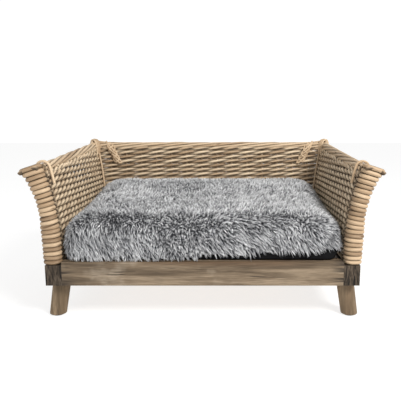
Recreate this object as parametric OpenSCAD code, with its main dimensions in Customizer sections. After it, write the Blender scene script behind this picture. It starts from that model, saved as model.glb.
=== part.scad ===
// Dog bed: a three-sided willow gallery on a low wooden base with a loose fur cushion.
// Millimetres, +X to the right, +Y to the back, +Z up, standing on z = 0.

/* [Base] */
// Width of the wooden base across the side rails
base_w = 710; // [680:1:740]
// Height of the underside of the rails above the floor
leg_h = 80; // [60:1:110]
// Height of the front rail
front_rail_h = 55; // [50:1:60]
// Thickness of the front rail
front_rail_t = 26; // [22:1:30]
// Height of the side and back rails
rail_h = 47; // [44:1:49]
// Thickness of the side and back rails
rail_t = 37; // [36:1:40]

/* [Legs] */
// Diameter of a leg at the rail
leg_top_d = 41; // [34:1:44]
// Diameter of a leg near the floor
leg_foot_d = 38; // [30:1:42]
// Outward lean of a leg to the side, in degrees
leg_lean_side = 8; // [0:1:10]
// Outward lean of a leg to the front or back, in degrees
leg_lean_end = 6; // [0:1:8]
// Distance of a leg's centre from the outer side face of the base
leg_inset_x = 24; // [22:1:28]
// Distance of a leg's centre from the front or back face of the base
leg_inset_y = 42; // [38:1:50]
// Thickness of the glide under a leg
glide_t = 3; // [2:0.5:4]

/* [Deck] */
// Number of deck slats
slat_count = 9; // [5:2:9]
// Width of a slat
slat_w = 56; // [40:1:60]
// Distance between the centres of neighbouring slats
slat_pitch = 66; // [62:1:67]
// Thickness of a slat
slat_t = 10; // [8:1:12]

/* [Willow gallery] */
// Overall depth from the front of the arms to the corner knots at the back
overall_d = 490; // [486:1:500]
// Thickness of a woven wall
wall_t = 16; // [14:1:16]
// Height at which the walls start to curve outwards
flare_z = 150; // [145:1:170]
// Radius of the outward curve at the front end of an arm
flare_r_front = 600; // [560:10:700]
// Radius of the outward curve at the back
flare_r_back = 900; // [860:10:1000]
// Height of the middle of the rolled border at the front of an arm
border_z_front = 343; // [335:1:350]
// Height of the middle of the rolled border along the back
border_z_back = 367; // [360:1:372]
// Diameter of the rolled border
border_d = 22; // [18:1:24]
// Diameter of a stake
stake_d = 6; // [5:0.5:7]
// Number of stakes in an arm
arm_stakes = 15; // [9:1:17]
// Number of stakes in the back
back_stakes = 14; // [8:1:18]

/* [Cushion] */
// Width of the cushion
cushion_w = 630; // [600:2:632]
// Height of the cushion at its front edge
cushion_h_front = 96; // [80:1:110]
// Height of the cushion at its back edge
cushion_h_back = 133; // [110:1:140]
// Height of the black fabric up the side of the cushion
under_h = 36; // [32:1:40]

/* [Hidden] */
slat_names = [for (i = [1:slat_count]) str("slat_", i)];

$fn = 48;
gap = 0.3;
wood = "#8d7d69";
end_wood = "#5d554c";
willow = "#d9bf94";
steel = "#b9bcc0";

// Heights and faces of the base
front_y = -overall_d / 2;
rail_top = leg_h + rail_h;
front_top = leg_h + front_rail_h;
deck_top = front_top;
ledger_h = 20;
ledger_d = 22;
ledger_top = deck_top - slat_t;
inner_x = base_w / 2 - rail_t;
front_inner_y = front_y + front_rail_t;
block_w = 40;
screw_d = 4;
block_screw_d = 5;

// The wall's inner face below the curve, its middle, and where the back stands
wall_x = inner_x + 2;
mid_x = wall_x + wall_t / 2;
back_face_y = 193.5;
mid_y = back_face_y + wall_t / 2;
back_rail_y = mid_y - rail_t / 2;
base_back_y = back_rail_y + rail_t;
post_depth = 36;
weave_front_y = front_y + post_depth + gap;
socket_depth = 18;

function mix(a, b, t) = a + (b - a) * t;
function flare(z, r) = z <= flare_z ? 0 : r - sqrt(r * r - (z - flare_z) * (z - flare_z));
function arm_r(u) = mix(flare_r_front, flare_r_back, u);
function border_z(u) = mix(border_z_front, border_z_back, u);

// ---------------------------------------------------------------- wooden base

module dowel_row(extra) {
  for (side = [-1, 1], y = [front_y + front_rail_t / 2, mid_y], z = [88, 100])
    translate([side * inner_x, y, leg_h + z - 80])
      rotate([0, 90, 0]) cylinder(d = 8 + extra, h = 40 + extra, center = true);
}

// A countersunk screw along -Z with its head's top at the origin
module screw(d, length, extra) {
  translate([0, 0, -length - extra]) cylinder(d = d + extra, h = length + extra - d / 2);
  translate([0, 0, -d / 2 - extra]) cylinder(d1 = d + extra, d2 = 2 * d + 2 * extra, h = d / 2 + extra);
}

module at_slat_screws() {
  for (i = [0:slat_count - 1], y = [front_inner_y + ledger_d / 2, back_rail_y - ledger_d / 2])
    translate([(i - (slat_count - 1) / 2) * slat_pitch, y, deck_top]) children();
}

module at_ledger_screws() {
  for (x = [-165, -33, 33, 165]) {
    translate([x, front_inner_y + ledger_d, ledger_top - ledger_h / 2]) rotate([-90, 0, 0]) children();
    translate([x, back_rail_y - ledger_d, ledger_top - ledger_h / 2]) rotate([90, 0, 0]) children();
  }
}

module at_block_screws() {
  for (side = [-1, 1]) {
    for (y = [front_inner_y + block_w - 8, back_rail_y - block_w + 8])
      translate([side * (inner_x - block_w), y, leg_h + 16]) rotate([0, -90 * side, 0]) children();
    translate([side * (inner_x - block_w + 10), front_inner_y + block_w, leg_h + 28])
      rotate([-90, 0, 0]) children();
    translate([side * (inner_x - block_w + 10), back_rail_y - block_w, leg_h + 28])
      rotate([90, 0, 0]) children();
  }
}

// Places its children at the top of each leg's axis, leaning as the leg does
module at_leg(side, end) {
  x = side * (base_w / 2 - leg_inset_x);
  y = end < 0 ? front_y + leg_inset_y : base_back_y - leg_inset_y;
  translate([x, y, leg_h]) rotate([end * leg_lean_end, -side * leg_lean_side, 0]) children();
}

module at_legs() {
  for (side = [-1, 1], end = [-1, 1]) at_leg(side, end) children();
}

module insert_sockets() {
  at_legs() translate([0, 0, -2]) cylinder(d = 12.2, h = 26);
}

module stake_sockets() {
  for (side = [-1, 1], i = [0:arm_stakes - 1])
    translate([side * mid_x, arm_stake_y(i), rail_top - socket_depth])
      cylinder(d = stake_d + 0.4, h = socket_depth + 1);
  for (i = [0:back_stakes - 1])
    translate([back_stake_x(i), mid_y, rail_top - socket_depth])
      cylinder(d = stake_d + 0.4, h = socket_depth + 1);
}

module front_rail() {
  color(wood) difference() {
    translate([-inner_x, front_y, leg_h]) cube([2 * inner_x, front_rail_t, front_rail_h]);
    dowel_row(0.2);
    at_ledger_screws() screw(screw_d, 35, 0.2);
    at_block_screws() screw(block_screw_d, 58, 0.2);
  }
}

module back_rail() {
  color(wood) difference() {
    translate([-inner_x, back_rail_y, leg_h]) cube([2 * inner_x, rail_t, rail_h]);
    dowel_row(0.2);
    stake_sockets();
    at_ledger_screws() screw(screw_d, 35, 0.2);
    at_block_screws() screw(block_screw_d, 58, 0.2);
  }
}

module side_rail(side) {
  color(end_wood) difference() {
    translate([side > 0 ? inner_x : -base_w / 2, front_y, leg_h])
      cube([rail_t, base_back_y - front_y, rail_h]);
    dowel_row(0.2);
    insert_sockets();
    stake_sockets();
    at_block_screws() screw(block_screw_d, 58, 0.2);
    translate([side * post_foot_x, front_y + post_depth / 2, rail_top])
      cube([18.4, 18.4, 40.4], center = true);
    translate([side * mid_x, mid_y, rail_top - 20]) cylinder(d = 14.4, h = 21);
  }
}

module ledger(y) {
  color("#c7ab7c") difference() {
    translate([-(inner_x - block_w), y, ledger_top - ledger_h])
      cube([2 * (inner_x - block_w), ledger_d, ledger_h]);
    at_ledger_screws() screw(screw_d, 35, 0.2);
    at_slat_screws() screw(screw_d, 25, 0.2);
  }
}

module corner_block(side, end) {
  y = end < 0 ? front_inner_y : back_rail_y - block_w;
  color("#c7ab7c") difference() {
    translate([side > 0 ? inner_x - block_w : -inner_x, y, leg_h])
      cube([block_w, block_w, ledger_top - leg_h]);
    insert_sockets();
    at_block_screws() screw(block_screw_d, 58, 0.2);
  }
}

module slat(i) {
  x = (i - (slat_count + 1) / 2) * slat_pitch;
  color("#c7ab7c") difference() {
    translate([x - slat_w / 2, front_inner_y + 0.5, deck_top - slat_t])
      cube([slat_w, back_rail_y - front_inner_y - 1, slat_t]);
    at_slat_screws() screw(screw_d, 25, 0.2);
  }
}

module rail_dowels() {
  color("#c7ab7c") dowel_row(0);
}

module slat_screws() {
  color(steel) at_slat_screws() screw(screw_d, 25, 0);
}

module ledger_screws() {
  color(steel) at_ledger_screws() screw(screw_d, 35, 0);
}

module block_screws() {
  color(steel) at_block_screws() screw(block_screw_d, 58, 0);
}

// A round tapered leg with a rounded foot, cut level at the rail and at the glide
module leg(side, end) {
  reach = leg_h + 12;
  edge = 7;
  color(wood) intersection() {
    at_leg(side, end) difference() {
      rotate_extrude() polygon(concat(
        [[0, 12], [leg_top_d / 2, 12]],
        [for (a = [0:15:90]) [leg_foot_d / 2 - edge + edge * cos(a), -reach + edge + 6 - edge * sin(a)]],
        [[0, -reach + 6]]));
      translate([0, 0, -32]) cylinder(d = 8.2, h = 50);
    }
    translate([-base_w, -overall_d, glide_t]) cube([2 * base_w, 2 * overall_d, leg_h - glide_t]);
  }
}

module leg_glides() {
  color("#202022") for (side = [-1, 1], end = [-1, 1]) {
    drop = leg_h - glide_t;
    x = side * (base_w / 2 - leg_inset_x + drop * tan(leg_lean_side));
    y = (end < 0 ? front_y + leg_inset_y : base_back_y - leg_inset_y)
      + end * drop * tan(leg_lean_end) / cos(leg_lean_side);
    translate([x, y, 0]) cylinder(d = 27, h = glide_t);
  }
}

module leg_bolts() {
  color(steel) at_legs() translate([0, 0, -31]) cylinder(d = 8, h = 52);
}

module leg_inserts() {
  color("#c9a24a") intersection() {
    at_legs() difference() {
      translate([0, 0, -2]) cylinder(d = 12, h = 25);
      translate([0, 0, -3]) cylinder(d = 8.2, h = 25);
    }
    translate([-base_w, -overall_d, leg_h]) cube([2 * base_w, 2 * overall_d, rail_h]);
  }
}

// ------------------------------------------------------------- willow gallery

// A round rod in the XZ plane: straight up from z0, then curving towards +X to z1
module bent_rod(d, r, z0, z1) {
  angle = asin((z1 - flare_z) / r);
  translate([0, 0, z0]) cylinder(d = d, h = flare_z - z0);
  translate([r, 0, flare_z]) mirror([1, 0, 0]) rotate([90, 0, 0])
    rotate_extrude(angle = angle, $fn = 180) translate([r, 0]) circle(d = d, $fn = 24);
}

function arm_stake_y(i) = mix(weave_front_y + 14, back_face_y - 12, i / (arm_stakes - 1));
function arm_stake_u(i) = (arm_stake_y(i) - weave_front_y) / (back_face_y - weave_front_y);
function back_stake_x(i) = mix(-mid_x + 26, mid_x - 26, i / (back_stakes - 1));

module arm_stakes_row() {
  color(willow) for (i = [0:arm_stakes - 1]) {
    u = arm_stake_u(i);
    translate([mid_x, arm_stake_y(i), 0])
      bent_rod(stake_d, arm_r(u), rail_top - socket_depth + gap, border_z(u) - border_d / 2 - 8);
  }
}

module back_stakes_row() {
  color(willow) for (i = [0:back_stakes - 1])
    translate([back_stake_x(i), mid_y, 0]) rotate([0, 0, 90])
      bent_rod(stake_d, flare_r_back, rail_top - socket_depth + gap, border_z_back - border_d / 2 - 8);
}

// Points of an arm's wall at depth t behind its inner face, u from front to back, v from bottom to top
function arm_z(u, v, top_drop) = mix(rail_top + gap, border_z(u) - border_d / 2 - top_drop, v);
function arm_point(u, v, t, top_drop) =
  let (z = arm_z(u, v, top_drop))
  [wall_x + flare(z, arm_r(u)) + t, mix(weave_front_y, back_face_y - 0.5 + flare(z, flare_r_back), u), z];
function back_point(u, v, t, top_drop) =
  let (z = mix(rail_top + gap, border_z_back - border_d / 2 - top_drop, v))
  let (half = wall_x - 0.5 + flare(z, flare_r_back))
  [mix(-half, half, u), back_face_y + flare(z, flare_r_back) + t, z];

// A closed slab between two grids of points, each nu by nv cells
module slab(near, far, nu, nv) {
  n = (nu + 1) * (nv + 1);
  function id(i, j) = i * (nv + 1) + j;
  polyhedron(points = concat(near, far), convexity = 6, faces = concat(
    [for (i = [0:nu - 1], j = [0:nv - 1]) each [
      [id(i, j), id(i + 1, j), id(i + 1, j + 1)], [id(i, j), id(i + 1, j + 1), id(i, j + 1)],
      [n + id(i, j), n + id(i + 1, j + 1), n + id(i + 1, j)],
      [n + id(i, j), n + id(i, j + 1), n + id(i + 1, j + 1)]]],
    [for (i = [0:nu - 1]) each [
      [id(i, 0), n + id(i, 0), n + id(i + 1, 0)], [id(i, 0), n + id(i + 1, 0), id(i + 1, 0)],
      [id(i, nv), n + id(i + 1, nv), n + id(i, nv)], [id(i, nv), id(i + 1, nv), n + id(i + 1, nv)]]],
    [for (j = [0:nv - 1]) each [
      [id(0, j), n + id(0, j + 1), n + id(0, j)], [id(0, j), id(0, j + 1), n + id(0, j + 1)],
      [id(nu, j), n + id(nu, j), n + id(nu, j + 1)], [id(nu, j), n + id(nu, j + 1), id(nu, j + 1)]]]));
}

// The willow wall of an arm: a hollow slab, open below, that the stakes stand inside
module arm_weave() {
  nu = 5;
  nv = 9;
  skin = 3.4;
  function face(t) = [for (i = [0:nu], j = [0:nv]) arm_point(i / nu, j / nv, t, 1.2)];
  function hollow(t) = [for (i = [0:nu], j = [0:nv])
    arm_point(mix(0.01, 0.99, i / nu), mix(-0.02, 1, j / nv), t, 4)];
  color(willow) difference() {
    slab(face(0), face(wall_t), nu, nv);
    slab(hollow(skin), hollow(wall_t - skin), nu, nv);
  }
}

module back_weave() {
  nu = 4;
  nv = 9;
  skin = 3.4;
  function face(t) = [for (i = [0:nu], j = [0:nv]) flip(back_point(i / nu, j / nv, t, gap))];
  function hollow(t) = [for (i = [0:nu], j = [0:nv])
    flip(back_point(mix(0.01, 0.99, i / nu), mix(-0.02, 1, j / nv), t, 4))];
  color(willow) mirror([0, 1, 0]) difference() {
    slab(face(0), face(wall_t), nu, nv);
    slab(hollow(skin), hollow(wall_t - skin), nu, nv);
  }
}
function flip(p) = [p[0], -p[1], p[2]];

// Outline of a front post seen from the front, grown inwards by inset
outer_z = 215;
outer_r = 213;
outer_x = wall_x + 45;
function post_inner(z) = wall_x + flare(z, flare_r_front);
function post_outer(z) = z < outer_z ? mix(base_w / 2 + 7, outer_x, (z - rail_top) / (outer_z - rail_top))
  : outer_x + outer_r - sqrt(outer_r * outer_r - (z - outer_z) * (z - outer_z));
post_top_in = border_z_front + 14;
post_top_out = border_z_front - 1;
post_foot_x = (wall_x + base_w / 2) / 2;

module post_outline(inset) {
  steps = 20;
  low = rail_top + gap;
  polygon(concat(
    [for (i = [0:steps]) let (z = mix(low, post_top_in - inset, i / steps)) [post_inner(z) + inset, z]],
    [for (i = [0:steps]) let (z = mix(post_top_out - inset, low, i / steps))
      [post_outer(z) - inset, z]]));
}

// Wooden core of a front post, tenoned into the side rail
module post_core() {
  color("#b9966a") {
    translate([0, front_y + post_depth / 2 + 10, 0]) rotate([90, 0, 0])
      linear_extrude(20) post_outline(8);
    translate([post_foot_x, front_y + post_depth / 2, rail_top - 9])
      cube([18, 18, 22], center = true);
  }
}

// Close willow wrapping over the core
module post_wrap() {
  color(willow) difference() {
    translate([0, front_y + post_depth, 0]) rotate([90, 0, 0]) linear_extrude(post_depth) post_outline(0);
    translate([0, front_y + post_depth / 2 + 10.2, 0]) rotate([90, 0, 0])
      linear_extrude(20.4) post_outline(7.8);
  }
}

arm_border_x = mid_x + flare(border_z_front, flare_r_front);
corner_x = mid_x + flare(border_z_back, flare_r_back);
corner_y = mid_y + flare(border_z_back, flare_r_back);
knot_z = border_z_back + 4;
knot_d = 2 * (overall_d / 2 - corner_y);

// A round bar from one point to another
module bar(a, b, d) {
  v = b - a;
  translate(a) rotate([0, acos(v[2] / norm(v)), atan2(v[1], v[0])]) cylinder(d = d, h = norm(v));
}

module arm_border() {
  color(willow) difference() {
    bar([arm_border_x, weave_front_y + 0.8, border_z_front], [corner_x, corner_y, border_z_back], border_d);
    translate([corner_x, corner_y, knot_z]) sphere(d = knot_d + gap);
    translate([corner_x, corner_y, border_z_back]) rotate([0, 90, 0])
      cylinder(d = border_d + gap, h = 60, center = true);
  }
}

module back_border() {
  color(willow) difference() {
    translate([0, corner_y, border_z_back]) rotate([0, 90, 0])
      cylinder(d = border_d, h = 2 * corner_x, center = true);
    for (side = [-1, 1]) translate([side * corner_x, corner_y, knot_z]) sphere(d = knot_d + gap);
  }
}

// Thick rod bent over the front end of an arm's border and tucked down its inner face
module end_rod() {
  rod_d = 8;
  y = weave_front_y + rod_d / 2 + gap;
  u = (y - weave_front_y) / (corner_y - weave_front_y);
  x = mix(arm_border_x, corner_x, u);
  z = border_z(u);
  ring_r = border_d / 2 + rod_d / 2 + gap;
  tilt = 12;
  tail = 38;
  color(willow) translate([x, y, z]) rotate([90, 0, 0]) rotate([0, 0, -tilt]) {
    rotate([0, 0, 30]) rotate_extrude(angle = 150) translate([ring_r, 0]) circle(d = rod_d);
    translate([-ring_r, 0.5, 0]) rotate([90, 0, 0]) cylinder(d = rod_d - 0.6, h = tail);
  }
}

// The upright that stands in each back corner
module corner_post() {
  color(willow) translate([mid_x, mid_y, 0]) rotate([0, 0, 45])
    bent_rod(13, flare_r_back / sqrt(2), rail_top - 19, border_z_back - border_d / 2 - 8);
}

// Binding over a back corner, with the strand that ties it down inside
module corner_knot() {
  low = border_z_back - 34;
  f = flare(low, flare_r_back);
  corner = [corner_x, corner_y, border_z_back];
  color(willow) {
    translate([corner_x, corner_y, knot_z]) sphere(d = knot_d);
    difference() {
      bar([wall_x + f - 6, back_face_y + f - 16, low], [corner_x - 10, corner_y - 10, knot_z + 4], 8);
      bar([arm_border_x, weave_front_y, border_z_front], corner, border_d + gap);
      translate([0, corner_y, border_z_back]) rotate([0, 90, 0])
        cylinder(d = border_d + gap, h = 2 * corner_x, center = true);
    }
  }
}

// Long rod down the inside of a back corner
module corner_rod() {
  color(willow) translate([wall_x - 4, back_face_y - 4, 0]) rotate([0, 0, 45])
    bent_rod(6, flare_r_back / sqrt(2), rail_top + gap, border_z_back - border_d / 2 - 12);
}

// Diagonal plait laid over the back's inner face beside a corner
module plait() {
  nu = 2;
  nv = 5;
  wide = 26;
  function plait_point(u, v, t) =
    let (z = mix(314, border_z_back - border_d / 2 - 2, v))
    [mix(corner_x - 80, corner_x - 54, v) + (u - 0.5) * wide, back_face_y + flare(z, flare_r_back) + t, z];
  color(willow) mirror([0, 1, 0])
    slab([for (i = [0:nu], j = [0:nv]) flip(plait_point(i / nu, j / nv, -5))],
      [for (i = [0:nu], j = [0:nv]) flip(plait_point(i / nu, j / nv, -gap))], nu, nv);
}

// -------------------------------------------------------------------- cushion

cushion_z = deck_top + gap;
cushion_front_y = front_y + 7;
cushion_back_y = back_face_y - 5.5;
seam_z = cushion_z + under_h;
zip_z = cushion_z + 25;

// One rounded corner of the cushion, drawn inside its outline by inset
module cushion_corner(h, inset) {
  r = 60 - inset;
  low = 14 - inset / 2;
  high = min(45, h / 2) - inset / 2;
  rotate_extrude($fn = 32) polygon(concat(
    [[0, inset]],
    [for (a = [-90:18:0]) [r - low + low * cos(a), inset + low + low * sin(a)]],
    [for (a = [0:15:90]) [r - high + high * cos(a), h - inset - high + high * sin(a)]],
    [[0, h - inset]]));
}

module cushion_form(inset) {
  x = cushion_w / 2 - 60;
  translate([0, 0, cushion_z]) hull() {
    for (side = [-1, 1]) {
      translate([side * x, cushion_front_y + 60, 0]) cushion_corner(cushion_h_front, inset);
      translate([side * x, cushion_back_y - 60, 0]) cushion_corner(cushion_h_back, inset);
    }
  }
}

module cushion_shell(low, high) {
  difference() {
    intersection() {
      cushion_form(0);
      translate([-base_w, -overall_d, low]) cube([2 * base_w, 2 * overall_d, high - low]);
    }
    cushion_form(8);
  }
}

module fur_cover() {
  color("#8d9094") cushion_shell(seam_z + 0.1, seam_z + 200);
}

module under_fabric() {
  color("#1d1d20") cushion_shell(cushion_z - 1, seam_z);
}

module cushion_filling() {
  color("#ececea") cushion_form(8.3);
}

module zip_tape() {
  color("#18181a") translate([-200, cushion_back_y + 0.1, zip_z - 10]) cube([400, 1, 20]);
}

module zip_chain() {
  color("#3a3a3d") translate([-190, cushion_back_y + 1.2, zip_z - 2]) cube([380, 1.4, 4]);
}

// Slider round the chain, at rest near the chain's left end
slide_x = -178;
module zip_slider() {
  color(steel) difference() {
    translate([slide_x - 7, cushion_back_y + 1.4, zip_z - 4.5]) cube([14, 3, 9]);
    translate([slide_x - 8, cushion_back_y + 1, zip_z - 2.4]) cube([16, 2, 4.8]);
  }
}

// Flat tab that hangs from the slider
module zip_pull() {
  color(steel) translate([slide_x - 3, cushion_back_y + 2.6, zip_z - 20.7]) cube([6, 1.2, 16]);
}

// --------------------------------------------------------------------- drawing

front_rail();
back_rail();
side_rail(-1);  // left_side_rail
side_rail(1);  // right_side_rail
ledger(front_inner_y);  // front_ledger
ledger(back_rail_y - ledger_d);  // back_ledger
corner_block(-1, -1);  // front_left_block
corner_block(1, -1);  // front_right_block
corner_block(-1, 1);  // back_left_block
corner_block(1, 1);  // back_right_block
for (i = [1:slat_count]) slat(i);
leg(-1, -1);  // front_left_leg
leg(1, -1);  // front_right_leg
leg(-1, 1);  // back_left_leg
leg(1, 1);  // back_right_leg
leg_bolts();
leg_inserts();
leg_glides();
rail_dowels();
block_screws();
ledger_screws();
slat_screws();
mirror([1, 0, 0]) post_core();  // left_post_core
post_core();  // right_post_core
mirror([1, 0, 0]) post_wrap();  // left_post_wrap
post_wrap();  // right_post_wrap
mirror([1, 0, 0]) arm_stakes_row();  // left_arm_stakes
arm_stakes_row();  // right_arm_stakes
mirror([1, 0, 0]) arm_weave();  // left_arm_weave
arm_weave();  // right_arm_weave
mirror([1, 0, 0]) arm_border();  // left_arm_border
arm_border();  // right_arm_border
mirror([1, 0, 0]) end_rod();  // left_end_rod
end_rod();  // right_end_rod
back_stakes_row();
back_weave();
back_border();
mirror([1, 0, 0]) corner_post();  // left_corner_post
corner_post();  // right_corner_post
mirror([1, 0, 0]) corner_knot();  // left_corner_knot
corner_knot();  // right_corner_knot
mirror([1, 0, 0]) corner_rod();  // left_corner_rod
corner_rod();  // right_corner_rod
mirror([1, 0, 0]) plait();  // left_plait
plait();  // right_plait
cushion_filling();
fur_cover();
under_fabric();
zip_tape();
zip_chain();
zip_slider();
zip_pull();
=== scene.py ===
import math
import random

import bpy
import numpy as np
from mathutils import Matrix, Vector


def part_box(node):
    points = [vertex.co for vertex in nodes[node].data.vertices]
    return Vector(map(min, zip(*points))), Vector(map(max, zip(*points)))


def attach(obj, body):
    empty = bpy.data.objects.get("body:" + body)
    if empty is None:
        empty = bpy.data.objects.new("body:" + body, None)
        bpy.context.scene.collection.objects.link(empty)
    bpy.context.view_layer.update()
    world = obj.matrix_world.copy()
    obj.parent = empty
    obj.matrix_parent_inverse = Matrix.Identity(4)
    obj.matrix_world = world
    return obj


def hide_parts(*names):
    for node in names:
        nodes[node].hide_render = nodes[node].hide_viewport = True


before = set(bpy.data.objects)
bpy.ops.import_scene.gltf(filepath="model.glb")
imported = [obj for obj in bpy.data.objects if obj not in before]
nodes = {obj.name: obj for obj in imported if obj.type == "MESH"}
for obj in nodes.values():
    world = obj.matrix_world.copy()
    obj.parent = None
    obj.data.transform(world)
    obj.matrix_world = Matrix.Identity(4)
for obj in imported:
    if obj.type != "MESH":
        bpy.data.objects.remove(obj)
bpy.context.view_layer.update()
scene = bpy.context.scene
twoPi = 2 * math.pi

# Numbers the design also holds, in metres
gallery = {
    "wallX": 0.320,
    "wallThick": 0.016,
    "flareZ": 0.150,
    "flareFront": 0.600,
    "flareBack": 0.900,
    "frontY": -0.245,
    "postDepth": 0.036,
    "backFaceY": 0.1935,
    "railTop": 0.127,
    "borderFrontZ": 0.343,
    "borderBackZ": 0.367,
    "armStakes": 15,
    "backStakes": 14,
    "baseHalf": 0.355,
    "postOuterZ": 0.215,
    "postOuterRadius": 0.213,
    "postWide": 0.045,
    "postFoot": 0.007,
}


# Camera, floor and light

cameraView = {"place": (0.0548, -1.3258, 0.462), "pitch": 9.73, "lens": 44.83, "sensor": 36, "shiftX": -0.066}
studio = {
    "floorHalf": 7.0,
    "floorColor": (0.36, 0.36, 0.36),
    "floorGlow": 0.74,
    "rimLight": 1.05,
    "skyLight": 0.52,
    "keyLight": 60.0,
    "fillLight": 3.0,
}


def addArea(name, place, target, size, power, color):
    data = bpy.data.lights.new(name, "AREA")
    data.shape = "DISK"
    data.size = size
    data.energy = power
    data.color = color
    lamp = bpy.data.objects.new(name, data)
    lamp.location = place
    lamp.rotation_euler = (Vector(target) - Vector(place)).to_track_quat("-Z", "Y").to_euler()
    scene.collection.objects.link(lamp)


def buildStudio():
    data = bpy.data.cameras.new("bedView")
    data.lens = cameraView["lens"]
    data.sensor_width = cameraView["sensor"]
    data.shift_x = cameraView["shiftX"]
    camera = bpy.data.objects.new("bedView", data)
    camera.location = cameraView["place"]
    camera.rotation_euler = (math.radians(90 - cameraView["pitch"]), 0, 0)
    scene.collection.objects.link(camera)
    scene.camera = camera
    world = bpy.data.worlds.new("softSky")
    world.use_nodes = True
    sky = Tree("softSky", "World", world.node_tree)
    # Brightest low down, softer overhead
    direction = sky.add("ShaderNodeTexCoord", out=0)
    height = sky.add("ShaderNodeSeparateXYZ", None, [direction], 2)
    strength = studio["rimLight"] - (studio["rimLight"] - studio["skyLight"]) * height.step(0.25, 0.50)
    background = sky.add("ShaderNodeBackground", None, {"Color": (1, 1, 1, 1), "Strength": strength})
    sky.add("ShaderNodeOutputWorld", None, {"Surface": background})
    scene.world = world
    scene.view_settings.view_transform = "Standard"
    addArea("keyLamp", (1.3, -1.5, 1.7), (-0.1, 0.0, 0.2), 0.9, studio["keyLight"], (1, 0.98, 0.95))
    addArea("fillLamp", (-1.2, -1.4, 1.2), (0.1, 0.0, 0.2), 1.4, studio["fillLight"], (0.96, 0.98, 1))
    mesh = bpy.data.meshes.new("floor")
    wide = studio["floorHalf"]
    corners = [(-wide, -wide, 0), (wide, -wide, 0), (wide, wide, 0), (-wide, wide, 0)]
    mesh.from_pydata(corners, [], [(0, 1, 2, 3)])
    floor = bpy.data.objects.new("floor", mesh)
    scene.collection.objects.link(floor)
    paint = Tree("floorPaint", "ShaderNodeTree")
    paint.finishSurface(studio["floorColor"], roughness=0.95, Emission_Color=(1, 1, 1, 1),
                        Emission_Strength=studio["floorGlow"], Specular_IOR_Level=0.0)
    mesh.materials.append(paint.material)


# Node trees written as sums

class Wire:
    def __init__(self, tree, socket):
        self.tree = tree
        self.socket = socket

    def combine(self, operation, other, swapped=False):
        pair = [other, self] if swapped else [self, other]
        vectors = [isinstance(p, Wire) and p.socket.type in ("VECTOR", "RGBA") for p in pair]
        if operation == "MULTIPLY" and sum(vectors) == 1:
            vector, scale = pair if vectors[0] else pair[::-1]
            return self.tree.add("ShaderNodeVectorMath", {"operation": "SCALE"}, {0: vector, "Scale": scale})
        kind = "ShaderNodeVectorMath" if any(vectors) else "ShaderNodeMath"
        return self.tree.add(kind, {"operation": operation}, pair)

    def __add__(self, other):
        return self.combine("ADD", other)

    def __radd__(self, other):
        return self.combine("ADD", other, True)

    def __sub__(self, other):
        return self.combine("SUBTRACT", other)

    def __rsub__(self, other):
        return self.combine("SUBTRACT", other, True)

    def __mul__(self, other):
        return self.combine("MULTIPLY", other)

    def __rmul__(self, other):
        return self.combine("MULTIPLY", other, True)

    def __truediv__(self, other):
        return self.combine("DIVIDE", other)

    def step(self, low, high):
        return self.tree.add("ShaderNodeMapRange", {"interpolation_type": "SMOOTHSTEP"}, [self, low, high])


class Tree:
    def __init__(self, name, kind, ready=None):
        if ready:
            self.nodes = ready
            self.nodes.nodes.clear()
        elif kind == "ShaderNodeTree":
            self.material = bpy.data.materials.new(name)
            self.material.use_nodes = True
            self.nodes = self.material.node_tree
            self.nodes.nodes.clear()
        else:
            self.nodes = bpy.data.node_groups.new(name, kind)

    def add(self, kind, settings=None, inputs=(), out=0):
        node = self.nodes.nodes.new(kind)
        for name, value in (settings or {}).items():
            if name == "stops":
                self.setStops(node, value)
            else:
                setattr(node, name, value)
        pairs = inputs.items() if isinstance(inputs, dict) else enumerate(inputs)
        for key, value in pairs:
            if isinstance(value, Wire):
                self.nodes.links.new(value.socket, node.inputs[key])
            elif value is not None:
                node.inputs[key].default_value = value
        self.last = node
        return Wire(self, node.outputs[out]) if len(node.outputs) else None

    def setStops(self, node, stops):
        ramp = node.color_ramp
        while len(ramp.elements) < len(stops):
            ramp.elements.new(0.5)
        for element, (place, color) in zip(ramp.elements, stops):
            element.position = place
            element.color = (*color, 1)

    def output(self, index):
        return Wire(self, self.last.outputs[index])

    def coords(self):
        return self.add("ShaderNodeTexCoord", out=3)

    def attribute(self, name, out=2):
        return self.add("ShaderNodeAttribute", {"attribute_name": name}, out=out)

    def mapped(self, vector, scale):
        return self.add("ShaderNodeMapping", None, {"Vector": vector, "Scale": scale})

    def noise(self, vector, scale=1.0, detail=3.0, roughness=0.55, distortion=0.0):
        values = {"Vector": vector, "Scale": scale, "Detail": detail, "Roughness": roughness,
                  "Distortion": distortion}
        return self.add("ShaderNodeTexNoise", None, values)

    def ramp(self, value, stops):
        return self.add("ShaderNodeValToRGB", {"stops": stops}, [value])

    def blend(self, amount, first, second):
        below, above = [c if isinstance(c, Wire) else (*c, 1) for c in (first, second)]
        return self.add("ShaderNodeMix", {"data_type": "RGBA"}, {0: amount, 6: below, 7: above}, out=2)

    def bump(self, height, strength, distance):
        values = {"Strength": strength, "Distance": distance, "Height": height}
        return self.add("ShaderNodeBump", None, values)

    def finishSurface(self, color, roughness=0.6, normal=None, metallic=0.0, **constants):
        values = {"Base Color": color if isinstance(color, Wire) else (*color, 1), "Roughness": roughness,
                  "Metallic": metallic}
        if normal:
            values["Normal"] = normal
        values.update({name.replace("_", " "): value for name, value in constants.items()})
        shader = self.add("ShaderNodeBsdfPrincipled", None, values)
        self.add("ShaderNodeOutputMaterial", None, {"Surface": shader})
        return self.material


# Woods: grain runs along one axis, with streaks, checks and pale worn bits

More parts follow.
